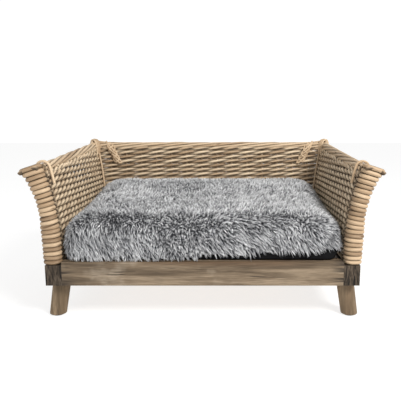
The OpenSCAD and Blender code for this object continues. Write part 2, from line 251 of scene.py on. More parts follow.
def makeWood(name, along, tone):
    tree = Tree(name, "ShaderNodeTree")
    place = tree.coords()
    across = [1.0, 1.0, 1.0]
    across[along] = 0.06
    grainSpace = tree.mapped(place, across)
    warp = tree.noise(grainSpace, 9, 2, 0.5)
    bands = tree.noise(grainSpace, 55, 4, 0.6, 0.6)
    fibre = tree.noise(grainSpace, 420, 3, 0.65)
    cracks = tree.noise(grainSpace, 95, 3, 0.7, 0.4).step(0.63, 0.70)
    if "ends" in tone:
        # Weathered splits run in from both ends of the board
        distance = tree.add("ShaderNodeSeparateXYZ", None, [place], along)
        reach = tree.add("ShaderNodeMath", {"operation": "ABSOLUTE"}, [distance])
        splits = tree.noise(grainSpace, 70, 3, 0.65, 0.5).step(0.50, 0.57)
        cracks = cracks + splits * reach.step(*tone["ends"]) * (1 - cracks)
    stain = tree.noise(place, 14, 3, 0.6)
    color = tree.ramp(bands, [(0.34, tone["dark"]), (0.48, tone["mid"]), (0.59, tone["light"])])
    broad = tree.noise(grainSpace, 16, 3, 0.6, 0.3)
    color = tree.blend(broad.step(0.50, 0.68) * 0.55, color, tone["dark"])
    color = tree.blend(tree.noise(grainSpace, 22, 2, 0.5).step(0.52, 0.72) * 0.7, color, tone["red"])
    color = tree.blend(stain.step(0.55, 0.72) * tone.get("worn", 0.5), color, tone["pale"])
    color = tree.blend((1 - fibre.step(0.34, 0.62)) * 0.42, color, tone["dark"])
    color = tree.blend(cracks * tone.get("cracks", 0.85), color, tone["crack"])
    height = bands * 0.5 + fibre * 0.5 - cracks * 1.2 + warp * 0.3
    rough = 0.62 + fibre * 0.25
    return tree.finishSurface(color, rough, tree.bump(height, 0.6, 0.0012), Specular_IOR_Level=0.3)


# worn and cracks set how much of each shows, and ends is where the splits begin and are full, from the middle
woodTones = {
    "weathered": {"dark": (0.066, 0.046, 0.028), "mid": (0.175, 0.128, 0.083), "light": (0.28, 0.213, 0.144),
                  "red": (0.18, 0.106, 0.058), "pale": (0.36, 0.298, 0.225), "crack": (0.014, 0.010, 0.008),
                  "ends": (0.275, 0.325)},
    "blackened": {"dark": (0.018, 0.013, 0.009), "mid": (0.040, 0.029, 0.020), "light": (0.074, 0.055, 0.038),
                  "red": (0.052, 0.032, 0.019), "pale": (0.100, 0.076, 0.054), "crack": (0.005, 0.004, 0.003),
                  "worn": 0.35, "cracks": 0.95},
    "turned": {"dark": (0.080, 0.055, 0.032), "mid": (0.168, 0.116, 0.067), "light": (0.24, 0.172, 0.106),
               "red": (0.165, 0.105, 0.060), "pale": (0.28, 0.225, 0.16), "crack": (0.035, 0.025, 0.017),
               "worn": 0.3, "cracks": 0.5},
    # core is painted shade: a near-black wood for what is seen only through gaps between rods
    "core": {"dark": (0.030, 0.020, 0.012), "mid": (0.050, 0.034, 0.021), "light": (0.075, 0.052, 0.033),
             "red": (0.050, 0.030, 0.017), "pale": (0.085, 0.062, 0.042), "crack": (0.012, 0.008, 0.005)},
    "pine": {"dark": (0.36, 0.215, 0.105), "mid": (0.56, 0.385, 0.21), "light": (0.69, 0.51, 0.31),
             "red": (0.50, 0.30, 0.14), "pale": (0.72, 0.57, 0.38), "crack": (0.20, 0.12, 0.06),
             "worn": 0.3, "cracks": 0.15},
}


def makeEndGrain(name, tone):
    # Long grain along Y on the sides, and split, ringed end grain where a face looks along Y
    tree = Tree(name, "ShaderNodeTree")
    place = tree.coords()
    grainSpace = tree.mapped(place, (1, 0.06, 1))
    bands = tree.noise(grainSpace, 55, 4, 0.6, 0.6)
    fibre = tree.noise(grainSpace, 420, 3, 0.65)
    splits = tree.mapped(place, (1, 1, 0.16))
    splitNoise = tree.noise(splits, 210, 3, 0.7, 0.5)
    normal = tree.add("ShaderNodeNewGeometry", None, (), 1)
    endways = tree.add("ShaderNodeSeparateXYZ", None, [normal], 1)
    facing = tree.add("ShaderNodeMath", {"operation": "ABSOLUTE"}, [endways]).step(0.6, 0.9)
    endTone = tree.ramp(splitNoise, [(0.36, tone["crack"]), (0.50, tone["mid"]), (0.64, tone["pale"])])
    color = tree.ramp(bands, [(0.30, tone["dark"]), (0.47, tone["mid"]), (0.62, tone["light"])])
    color = tree.blend((1 - fibre.step(0.34, 0.62)) * 0.4, color, tone["dark"])
    color = tree.blend(facing, color, endTone)
    height = bands * (1 - facing) + splitNoise * facing * 2.2
    return tree.finishSurface(color, 0.78, tree.bump(height, 0.8, 0.0015), Specular_IOR_Level=0.25)


def makeWillow():
    # The rods carry strandTint, along, ring (the place round a section) and two painted-shade masks: one
    # where a rod slips between the stakes, one on the side that faces its neighbours
    tree = Tree("peeledWillow", "ShaderNodeTree")
    tint = tree.attribute("strandTint")
    along = tree.attribute("along")
    ring = tree.attribute("ring", 1)
    lengthwise = tree.add("ShaderNodeCombineXYZ", None, [along * 5.0 + tint * 40, 0.0, 0.0])
    space = ring * 0.6 + lengthwise
    streak = tree.noise(space, 2.4, 3, 0.6)
    fine = tree.noise(ring * 2.2 + lengthwise, 4.5, 3, 0.65)
    budSpace = tree.add("ShaderNodeCombineXYZ", None, [along * 26 + tint * 63, tint * 9, 0.0])
    bud = tree.noise(budSpace + ring * 0.5, 1.0, 1, 0.5).step(0.68, 0.74)
    color = tree.ramp(tint, [(0.0, (0.20, 0.125, 0.068)), (0.25, (0.36, 0.245, 0.145)),
                             (0.6, (0.52, 0.385, 0.25)), (1.0, (0.68, 0.54, 0.375))])
    color = tree.blend(streak.step(0.50, 0.72) * 0.6, color, (0.24, 0.145, 0.075))
    color = tree.blend((1 - fine.step(0.32, 0.55)) * 0.35, color, (0.72, 0.59, 0.43))
    color = tree.blend(bud * 0.8, color, (0.10, 0.056, 0.028))
    # Painted shade: both masks darken the willow towards near black, standing in for shadow between the rods
    for shadow, amount in (("dive", 0.9), ("groove", 0.88)):
        color = tree.blend(tree.attribute(shadow) * amount, color, (0.030, 0.019, 0.011))
    relief = tree.bump(fine * 0.6 + streak * 0.4, 0.25, 0.0006)
    return tree.finishSurface(color, 0.46 + fine * 0.2, relief, Specular_IOR_Level=0.28)


def makePlainWillow():
    tree = Tree("plainWillow", "ShaderNodeTree")
    place = tree.coords()
    streak = tree.noise(tree.mapped(place, (1, 1, 0.1)), 160, 3, 0.6)
    patch = tree.noise(place, 12, 2, 0.5)
    color = tree.ramp(streak * 0.6 + patch * 0.4,
                      [(0.35, (0.12, 0.078, 0.045)), (0.5, (0.22, 0.15, 0.09)), (0.66, (0.33, 0.24, 0.155))])
    return tree.finishSurface(color, 0.5, tree.bump(streak, 0.25, 0.0006), Specular_IOR_Level=0.4)


def makeBlackFabric():
    tree = Tree("blackCotton", "ShaderNodeTree")
    place = tree.coords()
    thread = {"Vector": place, "Scale": 400.0, "Distortion": 1.5}
    warp = tree.add("ShaderNodeTexWave", {"bands_direction": "X"}, thread)
    weft = tree.add("ShaderNodeTexWave", {"bands_direction": "Z"}, thread)
    fold = tree.noise(place, 30, 3, 0.6)
    color = tree.ramp(fold, [(0.3, (0.003, 0.003, 0.0035)), (0.7, (0.009, 0.009, 0.010))])
    relief = tree.bump(warp + weft + fold * 4, 0.4, 0.0006)
    return tree.finishSurface(color, 0.9, relief, Specular_IOR_Level=0.12)


def makeFurSkin():
    tree = Tree("furBacking", "ShaderNodeTree")
    patch = tree.noise(tree.coords(), 26, 3, 0.6)
    color = tree.ramp(patch, [(0.35, (0.040, 0.042, 0.046)), (0.65, (0.12, 0.123, 0.13))])
    return tree.finishSurface(color, 0.95, tree.bump(patch, 0.4, 0.003))


def makePile():
    # hairTint is one number per tuft, lift runs from root to tip
    tree = Tree("greyPile", "ShaderNodeTree")
    tint = tree.attribute("hairTint")
    lift = tree.attribute("lift")
    color = tree.ramp(tint, [(0.10, (0.050, 0.053, 0.061)), (0.34, (0.265, 0.271, 0.283)),
                             (0.56, (0.55, 0.557, 0.572)), (0.86, (0.86, 0.867, 0.88))])
    color = tree.blend((1 - lift.step(0.0, 0.55)) * 0.62, color, (0.050, 0.052, 0.058))
    color = tree.blend(lift.step(0.6, 1.0) * 0.25, color, (0.80, 0.81, 0.83))
    return tree.finishSurface(color, 0.65 + tint * 0.1, Specular_IOR_Level=0.12)


def makeMetal(name, color, roughness):
    tree = Tree(name, "ShaderNodeTree")
    scratch = tree.noise(tree.mapped(tree.coords(), (1, 1, 0.1)), 900, 2, 0.5)
    shade = tree.blend(scratch * 0.4, color, tuple(c * 0.6 for c in color))
    return tree.finishSurface(shade, roughness + scratch * 0.15, tree.bump(scratch, 0.15, 0.0003), 1.0)


def makePlastic(name, color):
    tree = Tree(name, "ShaderNodeTree")
    grain = tree.noise(tree.coords(), 900, 2, 0.5)
    shade = tree.blend(grain * 0.3, color, tuple(c * 1.8 for c in color))
    return tree.finishSurface(shade, 0.5 + grain * 0.2, tree.bump(grain, 0.2, 0.0003))


def makeWadding():
    tree = Tree("liningCloth", "ShaderNodeTree")
    place = tree.coords()
    weave = tree.add("ShaderNodeTexWave", {"bands_direction": "X"}, {"Vector": place, "Scale": 300.0})
    puff = tree.noise(place, 40, 3, 0.6)
    color = tree.ramp(puff, [(0.3, (0.70, 0.69, 0.66)), (0.7, (0.84, 0.83, 0.81))])
    return tree.finishSurface(color, 0.9, tree.bump(weave + puff * 3, 0.3, 0.001))


finishes = {
    "railWood": makeWood("weatheredRail", 0, woodTones["weathered"]),
    "sideWood": makeEndGrain("sideRailWood", woodTones["blackened"]),
    "legWood": makeWood("turnedLeg", 2, woodTones["turned"]),
    "pineX": makeWood("pineAlongX", 0, woodTones["pine"]),
    "pineY": makeWood("pineAlongY", 1, woodTones["pine"]),
    "pineZ": makeWood("pineUpright", 2, woodTones["pine"]),
    # Painted shade: the post cores and the gap uprights are near black so that gaps read as shadow
    "coreShadeWood": makeWood("postCoreShade", 2, woodTones["core"]),
    "willow": makeWillow(),
    "plainWillow": makePlainWillow(),
    "blackFabric": makeBlackFabric(),
    "furSkin": makeFurSkin(),
    "pile": makePile(),
    "zinc": makeMetal("zincPlate", (0.62, 0.63, 0.65), 0.32),
    "brass": makeMetal("brassInsert", (0.78, 0.60, 0.30), 0.3),
    "blackPlastic": makePlastic("blackNylon", (0.018, 0.018, 0.02)),
    "wadding": makeWadding(),
}
print("materials made:", len(finishes))
buildStudio()


# Carried-over parts take their finish by name

cadFinishes = {
    "railWood": ["front_rail", "back_rail"],
    "sideWood": ["left_side_rail", "right_side_rail"],
    "legWood": ["front_left_leg", "front_right_leg", "back_left_leg", "back_right_leg"],
    "pineX": ["front_ledger", "back_ledger", "rail_dowels"],
    "pineY": [f"slat_{i}" for i in range(1, 10)],
    "pineZ": ["front_left_block", "front_right_block", "back_left_block", "back_right_block"],
    # The post cores take the painted-shade wood, seen through the gaps between the turns
    "coreShadeWood": ["left_post_core", "right_post_core"],
    "plainWillow": ["left_arm_stakes", "right_arm_stakes", "back_stakes_row", "left_corner_post",
                    "right_corner_post"],
    "zinc": ["leg_bolts", "block_screws", "ledger_screws", "slat_screws", "zip_slider", "zip_pull"],
    "brass": ["leg_inserts"],
    "blackPlastic": ["leg_glides", "zip_chain"],
    "blackFabric": ["zip_tape"],
}
for finish, names in cadFinishes.items():
    for name in names:
        nodes[name].data.materials.clear()
        nodes[name].data.materials.append(finishes[finish])


# Rods laid round a path

def addPathMesh(name, paths):
    # Each path is a list of stations: place, across, rise, phase, thickness; closed paths join up
    spots, edges = [], []
    columns = {"across": [], "rise": [], "phase": [], "thick": []}
    for stations, closed in paths:
        first = len(spots)
        for place, across, rise, phase, thick in stations:
            spots.append(tuple(place))
            columns["across"].append(tuple(across))
            columns["rise"].append(tuple(rise))
            columns["phase"].append(phase)
            columns["thick"].append(thick)
        count = len(stations)
        edges += [(first + i, first + i + 1) for i in range(count - 1)]
        if closed:
            edges.append((first + count - 1, first))
    mesh = bpy.data.meshes.new(name)
    mesh.from_pydata(spots, edges, [])
    for key, values in columns.items():
        kind, field = ("FLOAT_VECTOR", "vector") if key in ("across", "rise") else ("FLOAT", "value")
        layer = mesh.attributes.new(key, kind, "POINT")
        layer.data.foreach_set(field, np.array(values, np.float32).ravel())
    thing = bpy.data.objects.new(name, mesh)
    scene.collection.objects.link(thing)
    return thing


def named(tree, name, kind="FLOAT"):
    return tree.add("GeometryNodeInputNamedAttribute", {"data_type": kind}, {"Name": name})


def store(tree, shape, name, value, domain="POINT", kind="FLOAT"):
    inputs = {"Geometry": shape, "Name": name, "Value": value}
    return tree.add("GeometryNodeStoreNamedAttribute", {"data_type": kind, "domain": domain}, inputs)


def openTree(name, sockets):
    tree = Tree(name, "GeometryNodeTree")
    face = tree.nodes.interface
    face.new_socket("Geometry", in_out="OUTPUT", socket_type="NodeSocketGeometry")
    face.new_socket("Geometry", in_out="INPUT", socket_type="NodeSocketGeometry")
    for label, (kind, value) in sockets.items():
        socket = face.new_socket(label, in_out="INPUT", socket_type="NodeSocket" + kind)
        if value is not None:
            socket.default_value = value
    tree.add("NodeGroupInput")
    tree.given = {socket.name: Wire(tree, socket) for socket in tree.last.outputs if socket.name}
    return tree


def closeTree(tree, shape):
    solid = tree.add("GeometryNodeRealizeInstances", None, {"Geometry": shape})
    coated = tree.add("GeometryNodeSetMaterial", None, {"Geometry": solid, "Material": tree.given["Finish"]})
    tree.add("NodeGroupOutput", None, {"Geometry": coated})
    return tree.nodes


def makeRodTree():
    # Copies each path once for each rod, winds the copies round it and makes them tubes
    # Two inputs set painted shade: one darkens a rod where it slips between the stakes, the other the side it
    # turns to its neighbours
    tree = openTree("laidRods", {
        "Rods": ("Int", 2), "Depth": ("Float", 0.005), "Rise": ("Float", 0.003), "Skew": ("Float", 0.0),
        "Wobble": ("Float", 0.0006), "Spread": ("Float", 0.15), "DiveShade": ("Float", 0.0),
        "Tint": ("Float", 0.5), "Vary": ("Float", 1.0), "GrooveShade": ("Float", 0.0), "Sides": ("Int", 8),
        "Seed": ("Int", 1), "Finish": ("Material", None)})
    given = tree.given
    curve = tree.add("GeometryNodeMeshToCurve", None, {"Mesh": given["Geometry"]})
    copies = tree.add("GeometryNodeDuplicateElements", {"domain": "SPLINE"},
                      {"Geometry": curve, "Amount": given["Rods"]})
    turn = tree.output(1) * twoPi / given["Rods"]
    angle = named(tree, "phase") + turn
    cosine = tree.add("ShaderNodeMath", {"operation": "COSINE"}, [angle])
    sine = tree.add("ShaderNodeMath", {"operation": "SINE"}, [angle + given["Skew"]])
    offset = named(tree, "across", "FLOAT_VECTOR") * (cosine * given["Depth"])
    offset = offset + named(tree, "rise", "FLOAT_VECTOR") * (sine * given["Rise"])
    place = tree.add("GeometryNodeInputPosition")
    drift = tree.add("ShaderNodeTexNoise", {"noise_dimensions": "4D"},
                     {"Vector": place, "W": turn * 3 + given["Seed"], "Scale": 24.0, "Detail": 1.0}, out=1)
    wobble = (drift - (0.5, 0.5, 0.5)) * (given["Wobble"] * 4)
    moved = tree.add("GeometryNodeSetPosition", None, {"Geometry": copies, "Offset": offset + wobble})
    chance = tree.add("FunctionNodeRandomValue", None, {"Seed": given["Seed"]}, 1)
    moved = store(tree, moved, "strandTint", given["Tint"] + (chance - 0.5) * given["Vary"], "CURVE")
    radial = named(tree, "across", "FLOAT_VECTOR") * cosine + named(tree, "rise", "FLOAT_VECTOR") * sine
    moved = store(tree, moved, "radial", radial, "POINT", "FLOAT_VECTOR")
    # Painted shade mask, strongest where the rod crosses between the stakes
    moved = store(tree, moved, "dive", (1 - (cosine * cosine).step(0.0, 0.55)) * given["DiveShade"])
    stout = tree.add("FunctionNodeRandomValue", None, {"Seed": given["Seed"] + 7}, 1)
    moved = store(tree, moved, "girth", 1 + (stout - 0.5) * given["Spread"], "CURVE")
    moved = store(tree, moved, "along", tree.add("GeometryNodeSplineParameter", None, (), 1))
    circle = tree.add("GeometryNodeCurvePrimitiveCircle", None, {"Resolution": given["Sides"], "Radius": 1.0})
    circle = store(tree, circle, "ring", tree.add("GeometryNodeInputPosition"), "POINT", "FLOAT_VECTOR")
    size = named(tree, "thick") * named(tree, "girth") * 0.5
    tube = tree.add("GeometryNodeCurveToMesh", None,
                    {"Curve": moved, "Profile Curve": circle, "Scale": size, "Fill Caps": True})
    tube = tree.add("GeometryNodeSetShadeSmooth", None, {"Geometry": tube})
    # Painted shade mask on the side of the tube that faces back towards the other rods of its path
    directions = [tree.add("GeometryNodeInputNormal"), named(tree, "radial", "FLOAT_VECTOR")]
    facing = tree.add("ShaderNodeVectorMath", {"operation": "DOT_PRODUCT"}, directions, 1)
    tube = store(tree, tube, "groove", (1 - facing.step(-0.1, 0.85)) * given["GrooveShade"])
    return closeTree(tree, tube)


rodTree = makeRodTree()


def setInputs(modifier, values):
    sockets = {s.name: s.identifier for s in modifier.node_group.interface.items_tree if s.in_out == "INPUT"}
    for label, value in values.items():
        modifier[sockets[label]] = value


def bakeShape(thing, name, tree, values):
    # Runs the tree on the object and keeps the result as a plain mesh
    modifier = thing.modifiers.new("maker", "NODES")
    modifier.node_group = tree
    setInputs(modifier, values)
    graph = bpy.context.evaluated_depsgraph_get()
    mesh = bpy.data.meshes.new_from_object(thing.evaluated_get(graph))
    bpy.data.objects.remove(thing)
    mesh.name = name
    for label in ("across", "rise", "phase", "thick", "girth", "radial", "clumpPull", "flow"):
        if label in mesh.attributes:
            mesh.attributes.remove(mesh.attributes[label])
    mesh.materials.clear()
    mesh.materials.append(values["Finish"])
    mesh.polygons.foreach_set("material_index", [0] * len(mesh.polygons))
    piece = bpy.data.objects.new(name, mesh)
    scene.collection.objects.link(piece)
    return piece


def layRods(name, paths, replaced, values):
    settings = {"Rods": 1, "Depth": 0.0, "Rise": 0.0, "DiveShade": 0.0, "Tint": 0.55, "Vary": 0.5,
                "GrooveShade": 0.0, "Finish": finishes["willow"], **values}
    piece = bakeShape(addPathMesh(name + "Path", paths), name, rodTree, settings)
    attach(piece, "frame")
    if replaced:
        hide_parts(*replaced)
    print(name, "faces:", len(piece.data.polygons))
    return piece


def mix(a, b, t):
    return a + (b - a) * t


def flare(z, radius):
    lift = max(z - gallery["flareZ"], 0)
    return radius - math.sqrt(radius * radius - lift * lift)


def lean(z, radius):
    return math.asin(max(z - gallery["flareZ"], 0) / radius)


midX = gallery["wallX"] + gallery["wallThick"] / 2
midY = gallery["backFaceY"] + gallery["wallThick"] / 2
wallFrontY = gallery["frontY"] + gallery["postDepth"] + 0.0003
armSpan = gallery["backFaceY"] - wallFrontY
firstStake = 0.014  # from the post to the first stake of an arm
armPitch = (armSpan - 0.026) / (gallery["armStakes"] - 1)
backHalf = midX - 0.026
backPitch = 2 * backHalf / (gallery["backStakes"] - 1)
cornerX = midX + flare(gallery["borderBackZ"], gallery["flareBack"])
cornerY = midY + flare(gallery["borderBackZ"], gallery["flareBack"])
armBorderX = midX + flare(gallery["borderFrontZ"], gallery["flareFront"])

# Three rods wind round each other, and pass three stakes in a full turn
weave = {
    "rows": 19,
    "firstRow": 0.0075,
    "rowPitch": 0.0138,
    "rowDrop": 0.015,
    "rod": 0.0076,
    "tint": 1.0,
    "vary": 0.7,
    "backRows": 18,
    "backFirstRow": 0.007,
    "backRowPitch": 0.0132,
    "backRod": 0.0083,
    "backTint": 0.6,
    "backVary": 0.9,
    "strands": 3,
    "depth": 0.0046,
    "rise": 0.0031,
    "skew": 0.3,
    # The next two set the strength of the painted shade between the rods, and the one after is the thickness
    # of the dark uprights that paint shade into the gaps
    "dark": 0.6,
    "groove": 1.0,
    "shadeStake": 0.0078,
    "pointsPerTurn": 15,
    "sides": 8,
}


def armStation(side, u, z, phase, thick):
    radius = mix(gallery["flareFront"], gallery["flareBack"], u)
    tilt = lean(z, radius)
    y = mix(wallFrontY, midY + flare(z, gallery["flareBack"]) - 0.001, u)
    place = (side * (midX + flare(z, radius)), y, z)
    across = (-side * math.cos(tilt), 0, math.sin(tilt))
    rise = (side * math.sin(tilt), 0, math.cos(tilt))
    return place, across, rise, phase, thick


def wovenRods(**extra):
    # Every woven row carries the painted shade between its rods
    shared = {"Rods": weave["strands"], "Depth": weave["depth"], "Rise": weave["rise"], "Skew": weave["skew"],
              "DiveShade": weave["dark"], "GrooveShade": weave["groove"], "Sides": weave["sides"], "Spread": 0.16}
    return {**shared, **extra}


def underBorder(u, gap):
    return mix(gallery["borderFrontZ"], gallery["borderBackZ"], u) - gap


def buildArmWeave(side, name):
    rows = []
    dice = random.Random(5 if side > 0 else 9)
    steps = int(armSpan / (weave["strands"] * armPitch) * weave["pointsPerTurn"])
    for row in range(weave["rows"]):
        front = gallery["railTop"] + weave["firstRow"] + row * weave["rowPitch"]
        settle = min(max((front - 0.135) / 0.10, 0), 1)  # lower rows lie level, upper rows drop to the back
        thick = weave["rod"] * dice.uniform(0.93, 1.06)
        stations = []
        for i in range(steps + 1):
            u = i / steps
            z = front - weave["rowDrop"] * u * settle
            if z > underBorder(u, weave["firstRow"]):
                continue
            phase = twoPi / weave["strands"] * ((u * armSpan - firstStake) / armPitch + row)
            stations.append(armStation(side, u, z, phase, thick))
        if len(stations) > 6:
            rows.append((stations, False))
    # The last row runs up the slope, tight under the border
    slope = [armStation(side, i / 60, underBorder(i / 60, 0.0135), twoPi * 5 * i / 60, weave["rod"])
             for i in range(61)]
    rows.append((slope, False))
    layRods(name, rows, [name.replace("weavers", "weave")],
            wovenRods(Wobble=0.0005, Tint=weave["tint"], Vary=weave["vary"], Seed=11 if side > 0 else 17))


def buildBackWeave():
    rows = []
    dice = random.Random(3)
    for row in range(weave["backRows"]):
        z = gallery["railTop"] + weave["backFirstRow"] + row * weave["backRowPitch"]
        if z > underBorder(1, 0.0065):
            continue
        bow = flare(z, gallery["flareBack"])
        tilt = lean(z, gallery["flareBack"])
        reach = gallery["wallX"] + bow + 0.008
        steps = int(2 * reach / (weave["strands"] * backPitch) * weave["pointsPerTurn"])
        thick = weave["backRod"] * dice.uniform(0.96, 1.06)
        across, rise = (0, -math.cos(tilt), math.sin(tilt)), (0, math.sin(tilt), math.cos(tilt))
        stations = []
        for i in range(steps + 1):
            x = mix(-reach, reach, i / steps)
            phase = twoPi / weave["strands"] * ((x + backHalf) / backPitch + row)
            stations.append(((x, midY + bow, z), across, rise, phase, thick))
        rows.append((stations, False))
    layRods("back_weavers", rows, ["back_weave"],
            wovenRods(Wobble=0.0006, Tint=weave["backTint"], Vary=weave["backVary"], Seed=23))


def buildShadeStakes():
    # Painted shade: thin near-black uprights between the main stakes, seen only through the gaps of the
    # weave, where they stand for the shade in those gaps
    thick = weave["shadeStake"]
    low = gallery["railTop"] + 0.001
    plain = {"Sides": 6, "Wobble": 0.0, "Finish": finishes["coreShadeWood"]}
    for side, word in ((-1, "left"), (1, "right")):
        paths = []
        starts = [0.003] + [firstStake + (k + 0.5) * armPitch for k in range(gallery["armStakes"])]
        for start in starts:
            u = start / armSpan
            top = underBorder(u, 0.013)
            stations = [armStation(side, u, mix(low, top, i / 10), 0.0, thick) for i in range(11)]
            paths.append((stations, False))
        layRods(word + "_arm_bye_stakes", paths, None, plain)
    paths = []
    for k in range(gallery["backStakes"] - 1):
        x = -backHalf + (k + 0.5) * backPitch
        stations = []
        for i in range(11):
            z = mix(low, underBorder(1, 0.013), i / 10)
            place = (x, midY + flare(z, gallery["flareBack"]), z)
            stations.append((place, (0, -1, 0), (0, 0, 1), 0.0, thick))
        paths.append((stations, False))
    layRods("back_bye_stakes", paths, None, plain)


buildArmWeave(-1, "left_arm_weavers")
buildArmWeave(1, "right_arm_weavers")
buildBackWeave()
buildShadeStakes()


# Front posts: flat turns of willow, square to the post's own line

postWrap = {"turns": 22, "rod": 0.0104, "corner": 0.0125, "sides": 12, "tint": 0.25, "vary": 0.6,
            "capRods": 4, "capRod": 0.0085, "capInset": 0.0048, "capSag": 0.0085}


def postInner(z):
    return gallery["wallX"] + flare(z, gallery["flareFront"])


def postOuter(z):
    outerX = gallery["wallX"] + gallery["postWide"]
    if z < gallery["postOuterZ"]:
        t = (z - gallery["railTop"]) / (gallery["postOuterZ"] - gallery["railTop"])
        return mix(gallery["baseHalf"] + gallery["postFoot"], outerX, t)
    radius = gallery["postOuterRadius"]
    return outerX + radius - math.sqrt(radius * radius - (z - gallery["postOuterZ"]) ** 2)


def postFrames(count, margin):
    # Inner and outer edge of the post at even steps from its foot to its top
    low = gallery["railTop"] + 0.0003 + margin
    topIn = gallery["borderFrontZ"] + 0.014 - margin
    topOut = gallery["borderFrontZ"] - 0.001 - margin
    frames = []
    for i in range(count):
        t = i / (count - 1)
        inner = Vector((postInner(mix(low, topIn, t)), 0, mix(low, topIn, t)))
        outer = Vector((postOuter(mix(low, topOut, t)), 0, mix(low, topOut, t)))
        frames.append((inner, outer))
    return frames


def buildPostWrap(side, name):
    rod, r = postWrap["rod"], postWrap["corner"]
    midPostY = gallery["frontY"] + gallery["postDepth"] / 2
    halfDeep = gallery["postDepth"] / 2 - rod / 2
    paths = []
    dice = random.Random(31 if side > 0 else 37)
    for inner, outer in postFrames(postWrap["turns"], rod / 2):
        direction = (outer - inner).normalized()
        upward = direction.cross(Vector((0, 1, 0)))
        centre = (inner + outer) / 2
        half = (outer - inner).length / 2 - rod / 2
        thick = rod * dice.uniform(0.94, 1.04)
        slip = dice.uniform(-0.0007, 0.0007)
        stations = []
        for corner in range(4):
            for j in range(6):
                a = math.pi / 2 * (corner + j / 5)
                cx = (half - r) * (1 if corner in (0, 3) else -1)
                cy = (halfDeep - r) * (1 if corner in (0, 1) else -1)
                local = (cx + r * math.cos(a), cy + r * math.sin(a))
                spot = centre + direction * local[0] + upward * (slip * math.cos(a))
                place = (side * spot.x, midPostY + local[1], spot.z)
                outwards = direction * math.cos(a) + Vector((0, math.sin(a), 0))
                outwards.x *= side
                stations.append((place, outwards, (0, 0, 1), 0.0, thick))
        paths.append((stations, True))
    # Rods folded over the end of the post, their tips tucked into the last turn
    inner, outer = postFrames(2, 0.0)[1]
    direction = (outer - inner).normalized()
    upward = direction.cross(Vector((0, 1, 0)))
    count, thick, inset = postWrap["capRods"], postWrap["capRod"], postWrap["capInset"]
    across = (side * upward.x, 0, upward.z)
    for k in range(count):
        y = gallery["frontY"] + mix(inset, gallery["postDepth"] - inset, k / (count - 1))
        stations = []
        for j in range(11):
            t = 0.07 + 0.86 * j / 10
            sag = postWrap["capSag"] * abs(2 * t - 1) ** 3
            spot = inner + (outer - inner) * t - upward * (sag + thick * 0.62 + 0.0008 * (k % 2))
            place = (side * spot.x, y + 0.003 * (t - 0.5), spot.z)
            stations.append((place, across, (0, 0, 1), 0.0, thick))
        paths.append((stations, False))
    # The turns carry painted shade on the sides that face their neighbours
    layRods(name, paths, [name.replace("_turns", "_wrap")],
            {"Wobble": 0.0003, "Spread": 0.06, "Tint": postWrap["tint"], "Vary": postWrap["vary"],
             "GrooveShade": 0.95, "Sides": postWrap["sides"], "Seed": 41 if side > 0 else 47})


buildPostWrap(-1, "left_post_turns")
buildPostWrap(1, "right_post_turns")


# Rolled borders: rods laid round the top edge, always turning the same way round the bed

border = {"rods": 6, "rod": 0.0080, "ring": 0.0069, "core": 0.0105, "pitch": 0.42, "step": 0.008, "sides": 10,
          "tint": 0.54, "vary": 0.6}


def borderPath(start, end, across, rise, phase):
    start, end = Vector(start), Vector(end)
    length = (end - start).length
    steps = int(length / border["step"])
    stations = []
    for i in range(steps + 1):
        t = i / steps
        turn = phase + twoPi * t * length / border["pitch"]
        stations.append((start.lerp(end, t), across, rise, turn, border["rod"]))
    core = [(*station[:4], border["core"]) for station in stations]
    return stations, core


def buildBorder(name, start, end, inward, replaced, seed, phase):
    stations, core = borderPath(start, end, inward, (0, 0, 1), phase)
    # The rods carry painted shade on the sides that face their neighbours
    layRods(name, [(stations, False)], replaced,
            {"Rods": border["rods"], "Depth": border["ring"], "Rise": border["ring"], "Wobble": 0.0006,
             "Spread": 0.16, "Tint": border["tint"], "Vary": border["vary"], "GrooveShade": 0.9,
             "Sides": border["sides"], "Seed": seed})
    layRods(name + "_core", [(core, False)], None,
            {"Wobble": 0.0, "Spread": 0.0, "Sides": border["sides"], "Seed": seed + 1})


frontEndZ, backEndZ = gallery["borderFrontZ"], gallery["borderBackZ"]
buildBorder("left_border_rods", (-armBorderX, wallFrontY, frontEndZ), (-cornerX, cornerY - 0.004, backEndZ),
            (1, 0, 0), ["left_arm_border"], 53, 0.0)
buildBorder("back_border_rods", (-cornerX + 0.004, cornerY, backEndZ), (cornerX - 0.004, cornerY, backEndZ),
            (0, -1, 0), ["back_border"], 59, 1.0)
buildBorder("right_border_rods", (cornerX, cornerY - 0.004, backEndZ), (armBorderX, wallFrontY, frontEndZ),
            (-1, 0, 0), ["right_arm_border"], 61, 2.0)


# Corner knots, corner rods, end rods and plaits

binding = {"knotRods": 3, "knotRod": 0.0062, "crossRods": 4, "crossRod": 0.0078,
           "cornerRod": 0.0056, "endRod": 0.0062}


def smoothPath(points, thick, steps=28):
    # A smooth curve through the points
    points = [Vector(p) for p in points]
    points = [points[0] * 2 - points[1]] + points + [points[-1] * 2 - points[-2]]
    stations = []
    spans = len(points) - 3
    for i in range(steps + 1):
        t = i / steps * spans
        k = min(int(t), spans - 1)
        f = t - k
        a, b, c, d = points[k:k + 4]
        bend = (2 * a - 5 * b + 4 * c - d) * f * f + (3 * b - a - 3 * c + d) * f ** 3
        spot = 0.5 * (2 * b + (c - a) * f + bend)
        stations.append((spot, (1, 0, 0), (0, 0, 1), 0.0, thick))
    return stations


